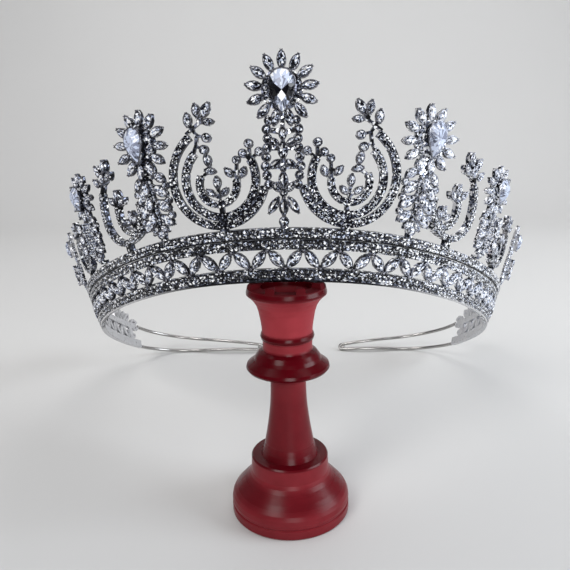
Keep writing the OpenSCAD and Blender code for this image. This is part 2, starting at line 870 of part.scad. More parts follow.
module set_large_scroll(side) {
    color([0.8, 0.8, 0.82])
        placed(side, scroll_1_at, 1, 0)
            large_scroll(scroll_back[0]);
}

module set_small_scroll(side, s, size, back) {
    color([0.8, 0.8, 0.82])
        placed(side, s, size, 0)
            small_scroll(back);
}

module scroll_left_1() set_large_scroll(-1);
module scroll_left_2() set_small_scroll(-1, scroll_2_at, 1, scroll_back[1]);
module scroll_left_3() set_small_scroll(-1, scroll_3_at, third_scroll_scale, scroll_back[2]);
module scroll_right_1() set_large_scroll(1);
module scroll_right_2() set_small_scroll(1, scroll_2_at, 1, scroll_back[1]);
module scroll_right_3() set_small_scroll(1, scroll_3_at, third_scroll_scale, scroll_back[2]);

display_stand();
bandeau_front();
bandeau_left();
bandeau_right();
lattice_stones_left();
lattice_stones_right();
gallery_front();
gallery_left();
gallery_right();
hair_loop_left();
hair_loop_right();
column_centre();
column_left_1();
column_left_2();
column_left_3();
column_right_1();
column_right_2();
column_right_3();
pear_centre();
pear_left_1();
pear_left_2();
pear_left_3();
pear_right_1();
pear_right_2();
pear_right_3();
petals_centre();
petals_left_1();
petals_left_2();
petals_left_3();
petals_right_1();
petals_right_2();
petals_right_3();
leaf_stones_centre();
leaf_stones_left_1();
leaf_stones_left_2();
leaf_stones_left_3();
leaf_stones_right_1();
leaf_stones_right_2();
leaf_stones_right_3();
scroll_left_1();
scroll_left_2();
scroll_left_3();
scroll_right_1();
scroll_right_2();
scroll_right_3();
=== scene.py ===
import math

import bpy
import numpy as np
from mathutils import Matrix, Vector


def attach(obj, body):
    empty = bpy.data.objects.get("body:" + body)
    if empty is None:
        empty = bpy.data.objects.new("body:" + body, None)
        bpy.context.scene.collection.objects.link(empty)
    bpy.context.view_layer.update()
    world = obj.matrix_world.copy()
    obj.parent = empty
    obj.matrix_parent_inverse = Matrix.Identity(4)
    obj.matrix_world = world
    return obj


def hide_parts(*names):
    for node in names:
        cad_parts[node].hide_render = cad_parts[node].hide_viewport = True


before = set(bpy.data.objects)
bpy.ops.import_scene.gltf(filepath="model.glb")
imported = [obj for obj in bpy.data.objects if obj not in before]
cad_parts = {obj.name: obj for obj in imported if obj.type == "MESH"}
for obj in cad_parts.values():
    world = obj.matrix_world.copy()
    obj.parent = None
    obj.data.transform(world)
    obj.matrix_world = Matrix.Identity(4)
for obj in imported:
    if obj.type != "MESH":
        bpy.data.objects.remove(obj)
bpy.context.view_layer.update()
rng = np.random.default_rng(7)

# Sizes of the tiara in millimetres and degrees, as in the part's source. Side 1 is the right one and -1
# the left one, s is the arc length from the middle of the front, and heights run up the slanting face.

# length and turn of the plan's three arcs, and of the loop's last curve on either side
FRONT_LEN, FRONT_TURN = 37.0, 42.0
SIDE_LEN, SIDE_TURN = 122.5, 60.8
REAR_LEN, REAR_TURN = 34.0, 94.0
TAILS = {1: (21.5, 37.5), -1: (27.0, 28.0)}
# outward lean of the band in front and at its ends, and of the crest
BAND_FLARE, END_FLARE, CREST_FLARE = 33.1, 15.0, 21.1
BAND_END, GALLERY_END = 159.0, 104.5
# top of the lower rail, foot of the upper rail, top of the gallery rail
LOW_TOP, HIGH_LOW, GALLERY_TOP = 3.2, 8.2, 13.5
# depths, counted outward from the band's face
RAIL_BACK, EDGE_FRONT, LATTICE_FRONT = -1.2, 0.25, -0.2
LATTICE_COUNT, LATTICE_LEN, LATTICE_WIDE = 37, 5.0, 2.3
# y and z at which the front rests on the stand, and the loops' height over the floor
CONTACT, FLOOR_GAP = (-3.64, 64.76), 0.02
# the wire's radius, the height of its upper start, and the distance between its two runs at the tip
WIRE_R, WIRE_START, WIRE_GAP = 0.7, 10.0, 2.2
GAP = 0.1

FRONT_R = FRONT_LEN / math.radians(FRONT_TURN)
SIDE_R = SIDE_LEN / math.radians(SIDE_TURN)
REAR_R = REAR_LEN / math.radians(REAR_TURN)
SIDE_END = FRONT_LEN + SIDE_LEN
REAR_END = SIDE_END + REAR_LEN
SIDE_HEAD = FRONT_TURN + SIDE_TURN
REAR_HEAD = SIDE_HEAD + REAR_TURN


def outward(a):
    return np.array([math.sin(math.radians(a)), -math.cos(math.radians(a))])


SIDE_C = np.array([0, FRONT_R]) + (FRONT_R - SIDE_R) * outward(FRONT_TURN)
REAR_C = SIDE_C + (SIDE_R - REAR_R) * outward(SIDE_HEAD)


def heading(s, side=1):
    if s <= FRONT_LEN:
        return FRONT_TURN * s / FRONT_LEN
    if s <= SIDE_END:
        return FRONT_TURN + SIDE_TURN * (s - FRONT_LEN) / SIDE_LEN
    if s <= REAR_END:
        return SIDE_HEAD + REAR_TURN * (s - SIDE_END) / REAR_LEN
    length, bend = TAILS[side]
    return REAR_HEAD - bend * (s - REAR_END) / length


def plan(s, side=1):
    out = outward(heading(s, side))
    if s <= FRONT_LEN:
        return np.array([0, FRONT_R]) + FRONT_R * out
    if s <= SIDE_END:
        return SIDE_C + SIDE_R * out
    if s <= REAR_END:
        return REAR_C + REAR_R * out
    length, bend = TAILS[side]
    tail_r = length / math.radians(bend)
    return REAR_C + (REAR_R + tail_r) * outward(REAR_HEAD) - tail_r * out


def flare(s):
    if s <= FRONT_LEN:
        return BAND_FLARE
    return BAND_FLARE + (END_FLARE - BAND_FLARE) * (s - FRONT_LEN) / (BAND_END - FRONT_LEN)


def on_face(s, high, deep):
    f = math.radians(flare(s))
    p = plan(s) + (high * math.sin(f) + deep * math.cos(f)) * outward(heading(s))
    return p[0], p[1], high * math.cos(f) - deep * math.sin(f)


# Places as 4 x 4 matrices

def move(x, y, z=0.0):
    m = np.eye(4)
    m[:3, 3] = (x, y, z)
    return m


def turn(axis, deg):
    c, s = math.cos(math.radians(deg)), math.sin(math.radians(deg))
    i, j = {"x": (1, 2), "y": (2, 0), "z": (0, 1)}[axis]
    m = np.eye(4)
    m[i, i], m[i, j], m[j, i], m[j, j] = c, -s, s, c
    return m


def size(*k):
    k = k * 3 if len(k) == 1 else k
    return np.diag([*k, 1.0])


BEND_Y = REAR_C[1] + REAR_R - WIRE_R
# the lean at which the bends of the loops lie on the floor
LAY_BACK = math.degrees(
    math.asin((CONTACT[1] - WIRE_R - FLOOR_GAP) / math.hypot(BEND_Y, WIRE_R))
    + math.atan(WIRE_R / BEND_Y)
)
LAID = move(0, *CONTACT) @ turn("x", -LAY_BACK)
FLIP = {1: np.eye(4), -1: np.diag([-1.0, 1, 1, 1])}


def on_band(s, side):
    return LAID @ FLIP[side] @ move(*plan(s)) @ turn("z", heading(s)) @ turn("x", 90 + flare(s))


def on_crest(s, side, k, lean=0.0):
    foot = LAID @ FLIP[side] @ move(*on_face(s, GALLERY_TOP, 0)) @ turn("z", heading(s))
    return foot @ turn("x", 90 + CREST_FLARE) @ turn("z", -lean) @ size(k)


def at(x, y, z, lean=0.0):
    return move(x, y, z) @ turn("z", -lean)


# Templates: points, triangles, and the facet that each triangle belongs to

def leaf_outline(length, wide, facets):
    r = (length * length + wide * wide) / (4 * wide)
    a = math.asin(length / 2 / r)
    t = np.linspace(-a, a, facets + 1)
    right = np.stack([wide / 2 - r + r * np.cos(t), r * np.sin(t)], 1)
    left = -right[1:-1]
    return np.vstack([right, left])


# makes a pear as wide as it is asked to be
PEAR_FULL = 1.299


def pear_outline(length, wide, n):
    t = np.arange(n) * 2 * math.pi / n
    way = np.where(t <= math.pi, -1, 1)
    x = PEAR_FULL * wide / 2 * np.abs(np.sin(t)) * np.abs(np.cos(t / 2)) * way
    return np.stack([x, length / 2 * np.cos(t)], 1)


def disc_outline(r, n):
    t = np.arange(n) * 2 * math.pi / n
    return np.stack([r * np.cos(t), r * np.sin(t)], 1)


def cut(outline, high, table, dip=0.06, girdle=0.15):
    """A cut stone: girdle, a crown of star and kite facets, and a table with a facet to every side."""
    n = len(outline)
    mid = outline.mean(0)
    half = mid + ((outline + np.roll(outline, -1, 0)) / 2 - mid) * (table + 1) / 2
    pts = np.vstack([
        np.c_[outline, np.zeros(n)],
        np.c_[outline, np.full(n, high * girdle)],
        np.c_[half, np.full(n, high * (0.55 + girdle / 2))],
        np.c_[mid + (outline - mid) * table, np.full(n, high)],
        [[*mid, high * (1 - dip)]],
    ])
    tri, facet = [], []
    for i in range(n):
        j = (i + 1) % n
        h = (i - 1) % n
        tri += [(i, j, n + j), (i, n + j, n + i)]
        tri += [(n + i, n + j, 2 * n + i)]
        tri += [(n + i, 2 * n + i, 3 * n + i), (2 * n + h, n + i, 3 * n + i)]
        tri += [(2 * n + i, 3 * n + j, 3 * n + i)]
        tri += [(3 * n + i, 3 * n + j, 4 * n)]
        facet += [i, i, n + i, 2 * n + i, 2 * n + i, 3 * n + i, 4 * n + i]
    return pts, np.array(tri), np.array(facet)


def brilliant(sides, table):
    """A small round stone of unit radius: a sloping facet on every side and a table."""
    rings = [disc_outline(1, sides), disc_outline(1, sides), disc_outline(table, sides)]
    pts = np.vstack([np.c_[ring, np.full(sides, z)] for ring, z in zip(rings, (0, 0.3, 1))])
    tri, facet = [], []
    for i in range(sides):
        j = (i + 1) % sides
        tri += [(i, j, sides + j), (i, sides + j, sides + i)]
        tri += [(sides + i, sides + j, 2 * sides + j), (sides + i, 2 * sides + j, 2 * sides + i)]
        facet += [i] * 4
    for i in range(1, sides - 1):
        tri.append((2 * sides, 2 * sides + i, 2 * sides + i + 1))
        facet.append(sides + i // 3)
    return pts, np.array(tri), np.array(facet)


def rim(outer, inner, high):
    """A wall that stands between two outlines."""
    n = len(outer)
    pts = np.vstack([
        np.c_[outer, np.zeros(n)], np.c_[outer, np.full(n, high)],
        np.c_[inner, np.full(n, high)], np.c_[inner, np.zeros(n)],
    ])
    tri = []
    for k in range(3):
        for i in range(n):
            j = (i + 1) % n
            a, b, c, d = k * n + i, k * n + j, (k + 1) * n + j, (k + 1) * n + i
            tri += [(a, b, c), (a, c, d)]
    return pts, np.array(tri), np.arange(len(tri)) // 2


def flat(outline):
    n = len(outline)
    tri = [(0, i, i + 1) for i in range(1, n - 1)]
    return np.c_[outline, np.zeros(n)], np.array(tri), np.zeros(n - 2, int)


def ball(levels):
    g = (1 + math.sqrt(5)) / 2
    pts = [(-1, g, 0), (1, g, 0), (-1, -g, 0), (1, -g, 0), (0, -1, g), (0, 1, g),
           (0, -1, -g), (0, 1, -g), (g, 0, -1), (g, 0, 1), (-g, 0, -1), (-g, 0, 1)]
    tri = [(0, 11, 5), (0, 5, 1), (0, 1, 7), (0, 7, 10), (0, 10, 11), (1, 5, 9), (5, 11, 4), (11, 10, 2),
           (10, 7, 6), (7, 1, 8), (3, 9, 4), (3, 4, 2), (3, 2, 6), (3, 6, 8), (3, 8, 9), (4, 9, 5),
           (2, 4, 11), (6, 2, 10), (8, 6, 7), (9, 8, 1)]
    pts = [np.array(p) / math.hypot(1, g) for p in pts]
    for _ in range(levels - 1):
        seen, out = {}, []

        def half(a, b):
            key = (min(a, b), max(a, b))
            if key not in seen:
                p = pts[a] + pts[b]
                pts.append(p / np.linalg.norm(p))
                seen[key] = len(pts) - 1
            return seen[key]

        for a, b, c in tri:
            ab, bc, ca = half(a, b), half(b, c), half(c, a)
            out += [(a, ab, ca), (b, bc, ab), (c, ca, bc), (ab, bc, ca)]
        tri = out
    return np.array(pts), np.array(tri), np.arange(len(tri))


# painted light: facets are paler from 8 mm beside the middle on, most on the right: by how much at most, and
# over how many millimetres
PALE_FROM, PALE_RIGHT, PALE_LEFT = 8, (0.5, 30), (0.3, 25)


def painted_paleness(x):
    most, over = PALE_RIGHT if x > 0 else PALE_LEFT
    return most * min(max((abs(x) - PALE_FROM) / over, 0), 1)


class Pile:
    """Copies of templates in one mesh, with a random value on every facet, lower for a higher tone; the
    value picks a painted reflection shade, paler beside the middle as painted light.
    """

    def __init__(self, tone=1.0):
        self.tone = tone
        self.pts, self.tri, self.spark, self.count = [], [], [], 0

    def add(self, template, place, spark=None):
        pts, tri, facet = template
        world = (np.c_[pts, np.ones(len(pts))] @ place.T)[:, :3]
        if np.linalg.det(place[:3, :3]) < 0:
            tri = tri[:, ::-1]
        self.pts.append(world)
        self.tri.append(tri + self.count)
        if spark is None:
            spark = rng.random(facet.max() + 1) ** (self.tone * (1 - painted_paleness(place[0, 3])))
        self.spark.append(spark[facet])
        self.count += len(pts)

    def emit(self, name, material, slot, smooth=False, stands_for=()):
        pts = np.vstack(self.pts) * 0.001
        tri = np.vstack(self.tri)
        mesh = bpy.data.meshes.new(name)
        mesh.from_pydata(pts.tolist(), [], tri.tolist())
        mesh.polygons.foreach_set("use_smooth", [smooth] * len(tri))
        value = mesh.attributes.new("spark", "FLOAT", "FACE")
        value.data.foreach_set("value", np.concatenate(self.spark).astype(np.float32))
        mesh.update()
        obj = bpy.data.objects.new(name, mesh)
        bpy.context.scene.collection.objects.link(obj)
        obj.data.materials.append(material)
        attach(obj, "root")
        if stands_for:
            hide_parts(*stands_for)
        return obj


# Materials. What they read is in metres.

# painted reflections of stones and beads, in shades from black to a painted glint
BLACK, DARK, SLATE = (0.004, 0.004, 0.006), (0.020, 0.023, 0.034), (0.075, 0.085, 0.12)
GREY, PALE, WHITE = (0.24, 0.26, 0.34), (0.55, 0.61, 0.76), (0.97, 0.98, 1.0)
VECTOR = "ShaderNodeVectorMath"
# inner reflections to the metre
INNER_SCALE = 2400.0
# the middle of the band, from which fronts look away and to which backs look
MIDDLE = (0, 0.055, 0.045)
# how satin the red plastic is at heights up the stand, in units of 100 mm
SATIN_UNITS = 10.0
SATIN = [
    (0.03, 0.45), (0.055, 0.4), (0.075, 0.15), (0.10, 0.2), (0.118, 0.5), (0.157, 0.45), (0.161, 0.0),
    (0.17, 0.05), (0.2, 0.2), (0.32, 0.25), (0.375, 0.5), (0.388, 0.1), (0.40, 0.0), (0.462, 0.0),
    (0.468, 0.7), (0.487, 0.7), (0.491, 0.0), (0.505, 0.0), (0.51, 1.0), (0.607, 1.0), (0.611, 0.0),
]


def new_material(name):
    mat = bpy.data.materials.new(name)
    mat.use_nodes = True
    nodes, links = mat.node_tree.nodes, mat.node_tree.links
    return mat, nodes, links, nodes["Principled BSDF"]


def object_place(nodes):
    return nodes.new("ShaderNodeTexCoord").outputs["Object"]


def axes(nodes, links, place):
    split = nodes.new("ShaderNodeSeparateXYZ")
    links.new(place, split.inputs["Vector"])
    return split.outputs


def ramp(nodes, links, value, stops, mode="LINEAR"):
    r = nodes.new("ShaderNodeValToRGB")
    r.color_ramp.interpolation = mode
    while len(r.color_ramp.elements) < len(stops):
        r.color_ramp.elements.new(0.5)
    for e, (pos, col) in zip(r.color_ramp.elements, stops):
        e.position = pos
        e.color = (*col, 1)
    links.new(value, r.inputs["Fac"])
    return r.outputs["Color"]


def clouded(nodes, links, cloud, low, high):
    """Two colours, or one number each as a grey, that a noise blends into one another."""
    low, high = (list(v) if isinstance(v, (tuple, list)) else [v] * 3 for v in (low, high))
    return ramp(nodes, links, cloud, [(0.3, low), (0.7, high)])


def noise(nodes, links, scale, detail=3.0):
    n = nodes.new("ShaderNodeTexNoise")
    n.inputs["Scale"].default_value = scale
    n.inputs["Detail"].default_value = detail
    links.new(object_place(nodes), n.inputs["Vector"])
    return n.outputs["Fac"]


def cells(nodes, links, place, scale):
    """Small cells in space, and a random value for each."""
    v = nodes.new("ShaderNodeTexVoronoi")
    v.inputs["Scale"].default_value = scale
    links.new(place, v.inputs["Vector"])
    parts = nodes.new("ShaderNodeSeparateColor")
    links.new(v.outputs["Color"], parts.inputs["Color"])
    return v, parts.outputs["Red"]


def remap(nodes, links, value, low, high, to_low=0.0, to_high=1.0):
    """Spreads what lies between low and high over to_low to to_high, and holds it there beyond."""
    m = nodes.new("ShaderNodeMapRange")
    m.inputs["From Min"].default_value = low
    m.inputs["From Max"].default_value = high
    m.inputs["To Min"].default_value = to_low
    m.inputs["To Max"].default_value = to_high
    links.new(value, m.inputs["Value"])
    return m.outputs["Result"]


def maths(nodes, links, operation, a, b=None, kind="ShaderNodeMath", result="Value"):
    """Does an operation on a, a socket, and b, a socket or a constant."""
    m = nodes.new(kind)
    m.operation = operation
    links.new(a, m.inputs[0])
    if isinstance(b, bpy.types.NodeSocket):
        links.new(b, m.inputs[1])
    elif b is not None:
        m.inputs[1].default_value = b
    return m.outputs[result]


def bump(nodes, links, bsdf, height, strength, distance):
    b = nodes.new("ShaderNodeBump")
    b.inputs["Strength"].default_value = strength
    b.inputs["Distance"].default_value = distance
    links.new(height, b.inputs["Height"])
    links.new(b.outputs["Normal"], bsdf.inputs["Normal"])


def mixed(nodes, links, fac, a, b):
    mix = nodes.new("ShaderNodeMix")
    mix.data_type = "RGBA"
    links.new(fac, mix.inputs["Factor"])
    links.new(a, mix.inputs["A"])
    links.new(b, mix.inputs["B"])
    return mix.outputs["Result"]


def metal(name, base, rough_low, rough_high, strength=0.05, scale=900.0):
    """Polished metal whose tint and polish change faintly over it."""
    mat, nodes, links, bsdf = new_material(name)
    cloud = noise(nodes, links, scale)
    tint = clouded(nodes, links, cloud, [c * 0.8 for c in base], base)
    links.new(tint, bsdf.inputs["Base Color"])
    links.new(clouded(nodes, links, cloud, rough_low, rough_high), bsdf.inputs["Roughness"])
    bsdf.inputs["Metallic"].default_value = 1.0
    bump(nodes, links, bsdf, cloud, strength, 0.0001)
    return mat


def graded_metal(name, near, far, start, end, both, rough):
    """Polished metal with the tones near in the middle and far beyond end, to the right or on both sides."""
    mat, nodes, links, bsdf = new_material(name)
    beside = axes(nodes, links, object_place(nodes))["X"]
    if both:
        beside = maths(nodes, links, "ABSOLUTE", beside)
    beside = remap(nodes, links, beside, start, end)
    cloud = noise(nodes, links, 400.0)
    near, far = (clouded(nodes, links, cloud, *tones) for tones in (near, far))
    links.new(mixed(nodes, links, beside, near, far), bsdf.inputs["Base Color"])
    bsdf.inputs["Metallic"].default_value = 1.0
    bsdf.inputs["Roughness"].default_value = rough
    return mat


def beaded_metal(name, cell):
    """Silver with plain backs, and fronts worked all over into small beads whose bright and dark colours are
    painted glints and painted shade.
    """
    mat, nodes, links, bsdf = new_material(name)
    geo = nodes.new("ShaderNodeNewGeometry")
    place, normal = geo.outputs["Position"], geo.outputs["Normal"]
    spot = axes(nodes, links, place)
    away = maths(nodes, links, "SUBTRACT", place, MIDDLE, VECTOR, "Vector")
    away = maths(nodes, links, "MULTIPLY", away, (1, 1, 0), VECTOR, "Vector")
    facing = maths(nodes, links, "DOT_PRODUCT", away, normal, VECTOR)
    # towards the ends the walls of the openings are plain too
    rear = remap(nodes, links, spot["Y"], 0.055, 0.085, 0, 0.045)
    front = remap(nodes, links, maths(nodes, links, "SUBTRACT", facing, rear), -0.034, -0.026)
    bead, shade = cells(nodes, links, place, 1 / cell)
    # painted light: the beads beside the front are paler ones to the right
    pale = remap(nodes, links, spot["X"], 0.010, 0.040, -0.12, 0.12)
    stops = [(0, BLACK), (0.36, DARK), (0.52, SLATE), (0.66, GREY), (0.78, WHITE)]
    beads = ramp(nodes, links, maths(nodes, links, "ADD", shade, pale), stops, "CONSTANT")
    cloud = noise(nodes, links, 700.0)
    plain = clouded(nodes, links, cloud, (0.50, 0.50, 0.52), (0.62, 0.62, 0.64))
    links.new(mixed(nodes, links, front, plain, beads), bsdf.inputs["Base Color"])
    links.new(clouded(nodes, links, cloud, 0.26, 0.38), bsdf.inputs["Roughness"])
    bsdf.inputs["Metallic"].default_value = 0.7
    bump(nodes, links, bsdf, bead.outputs["Distance"], 0.3, 0.0002)
    return mat


def crystal(name, starts, rough=0.08, shine=0.5, inner=0.0):
    """Glassy stone: each facet has a painted reflection shade, whose starts are given, and painted inner
    reflections break it up.
    """
    mat, nodes, links, bsdf = new_material(name)
    spark = nodes.new("ShaderNodeAttribute")
    spark.attribute_name = "spark"
    _, flash = cells(nodes, links, object_place(nodes), INNER_SCALE)
    change = remap(nodes, links, flash, 0, 1, -inner, inner)
    value = maths(nodes, links, "ADD", spark.outputs["Fac"], change)
    stops = list(zip((0, *starts), (BLACK, DARK, SLATE, GREY, PALE, WHITE)))
    links.new(ramp(nodes, links, value, stops, "CONSTANT"), bsdf.inputs["Base Color"])
    bsdf.inputs["Roughness"].default_value = rough
    bsdf.inputs["IOR"].default_value = 1.55
    bsdf.inputs["Specular IOR Level"].default_value = shine
    return mat


def plastic(name):
    """Red plastic: glossy and dark on collar, rings and rim, satin and paler on the cup."""
    mat, nodes, links, bsdf = new_material(name)
    height = axes(nodes, links, object_place(nodes))["Z"]
    cloud = noise(nodes, links, 260.0, 4.0)
    satin = nodes.new("ShaderNodeFloatCurve")
    curve = satin.mapping.curves[0]
    for point, (x, y) in zip(curve.points, ((0, 0.3), (1, 0))):
        point.location = (x, y)
    for x, y in SATIN:
        curve.points.new(x, y)
    for point in curve.points:
        point.handle_type = "VECTOR"
    satin.mapping.update()
    links.new(maths(nodes, links, "MULTIPLY", height, SATIN_UNITS), satin.inputs["Value"])
    low = clouded(nodes, links, cloud, (0.06, 0.0008, 0.003), (0.078, 0.0012, 0.0042))
    high = clouded(nodes, links, cloud, (0.26, 0.026, 0.034), (0.30, 0.032, 0.042))
    links.new(mixed(nodes, links, satin.outputs["Value"], low, high), bsdf.inputs["Base Color"])
    rough = remap(nodes, links, satin.outputs["Value"], 0, 1, 0.22, 0.5)
    # the level floors of the rim's notches are dull
    dull = remap(nodes, links, height, 0.0625, 0.0628, 0, 0.65)
    links.new(maths(nodes, links, "ADD", rough, dull), bsdf.inputs["Roughness"])
    bsdf.inputs["Specular IOR Level"].default_value = 0.13
    bump(nodes, links, bsdf, cloud, 0.08, 0.0002)
    return mat


FRONTS = beaded_metal("beaded_silver", 0.00055)
BRIGHT = metal("bright_silver", (0.74, 0.74, 0.76), 0.14, 0.24)
# painted light and shade: the claw silver is dark in the middle and paler to the right
CLAW = graded_metal(
    "claw_silver", ((0.14, 0.14, 0.16), (0.18, 0.18, 0.20)), ((0.40, 0.41, 0.46), (0.48, 0.50, 0.56)),
    0.018, 0.045, False, 0.24
)
# painted reflection: the lower edge is near black in the middle and bright silver towards both sides, as a
# painted highlight
EDGE = graded_metal(
    "edge_silver", ((0.015, 0.015, 0.018), (0.035, 0.035, 0.04)), ((0.60, 0.60, 0.62), (0.74, 0.74, 0.76)),
    0.022, 0.045, True, 0.18
)
SHADED = metal("shaded_silver", (0.02, 0.02, 0.022), 0.30, 0.45)
WIRE = metal("loop_wire", (0.46, 0.45, 0.44), 0.20, 0.28, 0.01, 200.0)
STONES = crystal("crystal", (0.28, 0.38, 0.48, 0.6, 0.78), inner=0.36)
PAVE = crystal("pave_crystal", (0.52, 0.6, 0.64, 0.69, 0.76), inner=0.12)
PEARS = crystal("pear_crystal", (0.12, 0.2, 0.36, 0.52, 0.8), 0.12, 0.25, 0.08)
RED = plastic("red_plastic")

for name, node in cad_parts.items():
    node.data.materials.clear()
    node.data.materials.append(RED if name == "display_stand" else FRONTS)


# Rows of small round stones along the rails

ROUND = brilliant(8, 0.66)
GRAIN = ball(1)
BEAD = ball(2)
PAVE_R = 0.57
# the rails' rows of stones: their heights, where they end, and their tone; the higher tone of the lower rows
# paints them darker, as painted shade
RAIL_ROWS = [
    ((1.42, 2.58), BAND_END - 0.3, 2.2),
    ((8.84, 10.0), BAND_END - 3.2, 1.7),
    ((11.78, 12.94), GALLERY_END - 0.3, 1.5),
]


def pave_row(stones, grains, places, r, lift=0.02, grain=0.2):
    """One stone at every place, and two grains of metal beside each gap between neighbours."""
    for p in places:
        shape = size(r * 0.96, r * 0.96, r * 0.6)
        stones.add(ROUND, p @ move(0, 0, lift) @ turn("z", rng.uniform(0, 45)) @ shape)
        for side in (-1, 1):
            grains.add(GRAIN, p @ move(r, side * r * 0.62, lift + r * 0.3) @ size(r * grain))


def row_stations(high, pitch, end):
    """Arc positions at which stones stand shoulder to shoulder at this height."""
    out, s = [], 0.0
    while True:
        bend = FRONT_R if s <= FRONT_LEN else SIDE_R
        step = pitch / (1 + high * math.sin(math.radians(flare(s))) / bend)
        if s + step > end:
            return out
        out.append(s + step / 2)
        s += step


band_stones, band_grains = Pile(), Pile()
for rows, end, tone in RAIL_ROWS:
    band_stones.tone = tone
    for h in rows:
        for s in row_stations(h, 2 * PAVE_R, end):
            for side in (-1, 1):
                pave_row(band_stones, band_grains, [on_band(s, side) @ move(0, h)], PAVE_R)
band_stones.emit("pave_rails", PAVE, "crystal")
band_grains.emit("grains_rails", CLAW, "silver_metal", True)


def strip(end, steps, low, high, back, front):
    """A thin strip swept along both sides of the band, between two heights and two depths."""
    stations = np.linspace(0, end, steps).tolist()
    section = [(low, back), (high, back), (high, front), (low, front)]
    n = len(section)
    line = [(side, s) for side, row in ((-1, stations[::-1]), (1, stations[1:])) for s in row]
    pts = np.array([
        (LAID @ FLIP[side] @ np.array([*on_face(s, *corner), 1]))[:3]
        for side, s in line for corner in section
    ])
    tri = []
    for i in range(len(line) - 1):
        for k in range(n):
            m = (k + 1) % n
            a, b, c, d = i * n + k, i * n + m, (i + 1) * n + m, (i + 1) * n + k
            tri += [(a, b, c), (a, c, d)]
    last = (len(line) - 1) * n
    tri += [(0, 2, 1), (0, 3, 2), (last, last + 1, last + 2), (last, last + 2, last + 3)]
    return pts, np.array(tri), np.zeros(len(tri), int)


for name, material, run in (
    # a thin strip along the band's lower edge that carries the painted highlight and painted dark reflection
    ("edge_highlight_and_shade", EDGE, (BAND_END, 160, 0.04, 0.5, EDGE_FRONT, EDGE_FRONT + 0.07)),
    # painted shadow: a near-black strip in the groove between the upper rail and the gallery
    ("groove_shadow_strip", SHADED, (GALLERY_END - 0.4, 110, 10.84, 11.14, -0.6, -0.3)),
):
    pile = Pile()
    pile.add(strip(*run), np.eye(4))
    pile.emit(name, material, "silver_metal")


# Leaf stones with their rims and claws

def leaf_set(stones, metal_pile, place, length, wide, high=0.8, back=0.0):
    """A leaf stone standing on its seat, a rim round it and claws at its tips and sides."""
    stones.add(cut(leaf_outline(length, wide, 6), high, 0.6), place)
    outer = leaf_outline(length + 0.58, wide + 0.38, 6)
    inner = leaf_outline(length + 0.04, wide + 0.04, 6)
    metal_pile.add(rim(outer, inner, 0.3), place @ move(0, 0, -0.1 + back))
    for end in (-1, 1):
        for x in (-0.2, 0.2):
            tip = at(x, end * (length / 2 - 0.02), high * 0.4, x * end * 90)
            metal_pile.add(GRAIN, place @ tip @ size(0.15, 0.36, 0.34))
    for x, y in ((1, 1), (1, -1), (-1, 1), (-1, -1)):
        beside = move(x * wide * 0.43, y * length * 0.17, high * 0.34)
        metal_pile.add(GRAIN, place @ beside @ size(0.17))


def round_set(stones, metal_pile, place, r):
    """A round stone in a thin dark ring with four claws."""
    stones.add(cut(disc_outline(r * 0.86, 8), r * 0.6, 0.5), place @ turn("z", rng.uniform(0, 45)))
    metal_pile.add(rim(disc_outline(r, 16), disc_outline(r * 0.87, 16), r * 0.25), place)
    for a in (45, 135, 225, 315):
        claw = place @ turn("z", a) @ move(r * 0.84, 0, r * 0.25)
        metal_pile.add(GRAIN, claw @ size(r * 0.17, r * 0.17, r * 0.24))


# the zigzag ends before the end plate, and its last leaves have bright claws as the plate's have
END_ROOM, BRIGHT_LEAVES = 7, 5
LATTICE_PITCH = (BAND_END - END_ROOM) / LATTICE_COUNT
LATTICE_MID = (LOW_TOP + HIGH_LOW) / 2
LATTICE_LEAN = math.degrees(math.atan(LATTICE_PITCH / (HIGH_LOW - LOW_TOP)))
lattice_metal, end_metal = Pile(), Pile()
for side, word in ((-1, "left"), (1, "right")):
    pile = Pile(1.1)
    for i in range(LATTICE_COUNT):
        lean = LATTICE_LEAN if i % 2 == 0 else -LATTICE_LEAN
        seat = on_band((i + 0.5) * LATTICE_PITCH, side) @ at(0, LATTICE_MID, LATTICE_FRONT + GAP, lean)
        claws = end_metal if i >= LATTICE_COUNT - BRIGHT_LEAVES else lattice_metal
        leaf_set(pile, claws, seat, LATTICE_LEN, LATTICE_WIDE)
    pile.emit("lattice_crystals_" + word, STONES, "crystal", stands_for=["lattice_stones_" + word])
    # a bead at every knot, the middle one once
    for i in range(0 if side > 0 else 1, LATTICE_COUNT + 1):
        h = LOW_TOP + 0.2 if i % 2 == 0 else HIGH_LOW - 0.2
        lattice_metal.add(BEAD, on_band(i * LATTICE_PITCH, side) @ move(0, h, 0.05) @ size(0.5, 0.5, 0.45))
lattice_metal.emit("lattice_claws", CLAW, "silver_metal", True)

# leaf lobes at the band's ends: arc length before the end, y, lean, length, width
END_LOBES = [
    (3, 8.8, 90, 6, 2.6), (3.2, 11.3, 84, 6.2, 2.6), (6, 4.8, 80, 4.4, 2.4), (8.6, 12.8, 50, 5.4, 2.6),
    (11.6, 12.8, 30, 5.4, 2.6), (14.8, 12.6, 18, 5.2, 2.5), (18, 12.3, 10, 4.8, 2.4),
    (21.2, 11.8, 4, 4.2, 2.2),
]
end_stones, end_seat_shadows = Pile(), Pile()
for side in (-1, 1):
    for back, y, lean, length, wide in END_LOBES:
        here = on_band(BAND_END - back, side)
        front = here @ at(0, y, LATTICE_FRONT + GAP, lean)
        leaf_set(end_stones, end_metal, front, length - 0.7, wide - 0.5)
        # painted shade: a dark leaf where the open seat shows on the lobe's back
        behind = here @ at(0, y, RAIL_BACK + GAP, lean) @ turn("y", 180)
        end_seat_shadows.add(flat(leaf_outline(length * 0.52, wide * 0.3, 6)), behind @ move(0, 0, 0.03))
end_stones.emit("end_crystals", STONES, "crystal")
end_metal.emit("end_claws", BRIGHT, "silver_metal", True)
end_seat_shadows.emit("end_seat_shadows", CLAW, "silver_metal")


# Columns: leaves are x, y, lean, length, width; rounds are x, y, radius

